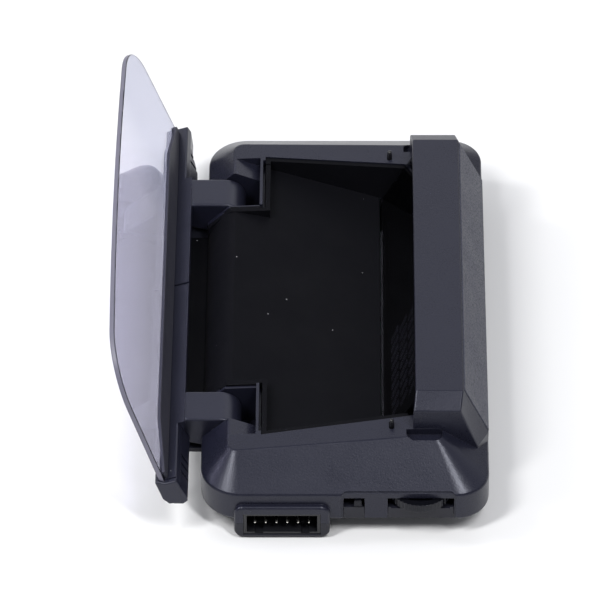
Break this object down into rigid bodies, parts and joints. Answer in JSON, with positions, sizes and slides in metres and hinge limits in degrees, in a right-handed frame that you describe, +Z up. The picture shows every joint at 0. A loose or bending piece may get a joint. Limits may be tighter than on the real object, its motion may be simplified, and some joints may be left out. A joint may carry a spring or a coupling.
{
  "type": "head-up display",
  "caption": "Low dashboard head-up display: trapezoid flip-up combiner on two hinge arms, dark projection recess under a hood, edge socket, slide switch and thumb dial.",
  "frame": {"origin": "centre of the non-slip pad's underside, under the middle of the case", "axes": "+Z up from the dashboard, +Y across the unit along the hinge, +X from the combiner towards the hood"},
  "size_m": [0.0891, 0.1275, 0.0528],
  "materials": {
    "case": "fine satin",
    "grain": "fine leather grain",
    "cover": "fine satin",
    "pad": "matte",
    "screw": "black zinc",
    "liner": "flat black",
    "window": "smoked, polished",
    "lcd": "polished",
    "segment": "unlit",
    "white": "diffuse",
    "pcb": "solder mask",
    "chip": "moulded",
    "can": "satin",
    "connector": "moulded",
    "pin": "tin plated",
    "pin_steel": "ground",
    "control": "satin",
    "combiner": "polished, half-silvered",
    "stop": "matte"
  },
  "bodies": {
    "root": {"upper_case": "case", "rear_panel": "grain", "bottom_cover": "cover", "non_slip_pad": "pad", "case_screws": "screw", "cavity_liner": "liner", "display_window": "window", "display_bezel": "liner", "display_panel": "lcd", "display_segments": "segment", "display_backlight": "white", "display_board": "pcb", "display_driver_chips": "chip", "main_board": "pcb", "processor": "chip", "memory_chips": "chip", "voltage_regulator": "chip", "capacitors": "can", "inductor": "chip", "buzzer": "chip", "socket_header": "connector", "socket_pins": "pin", "switch_body": "can", "switch_terminals": "pin", "dial_encoder": "connector", "hinge_pins": "pin_steel", "friction_washers": "pin_steel", "rubber_stops": "stop"},
    "switch_slider": {"switch_slider": "control"},
    "thumb_dial": {"thumb_dial": "control"},
    "dial_carrier": {"dial_carrier": "control"},
    "lid": {"combiner_panel": "combiner", "combiner_frame": "case", "clamp_strip": "liner", "clamp_screws": "screw"}
  },
  "joints": [
    {"name": "combiner_hinge", "type": "hinge", "parent": "root", "child": "lid", "pos_m": [-0.0292, 0, 0.0132], "axis": [0, 1, 0], "range_deg": [0, 104.7]},
    {"name": "dial_press", "type": "slide", "parent": "root", "child": "dial_carrier", "axis": [0, 1, 0], "range_m": [0, 0.0006], "stiffness_N_per_m": 1500, "springref_m": -0.0002},
    {"name": "dial_roll", "type": "hinge", "parent": "dial_carrier", "child": "thumb_dial", "pos_m": [0.0182, -0.0569, 0.01], "axis": [0, 0, 1], "range_deg": [-15, 15], "stiffness_Nm_per_rad": 0.02},
    {"name": "switch_slide", "type": "slide", "parent": "root", "child": "switch_slider", "axis": [1, 0, 0], "range_m": [-0.0019, 0]}
  ]
}
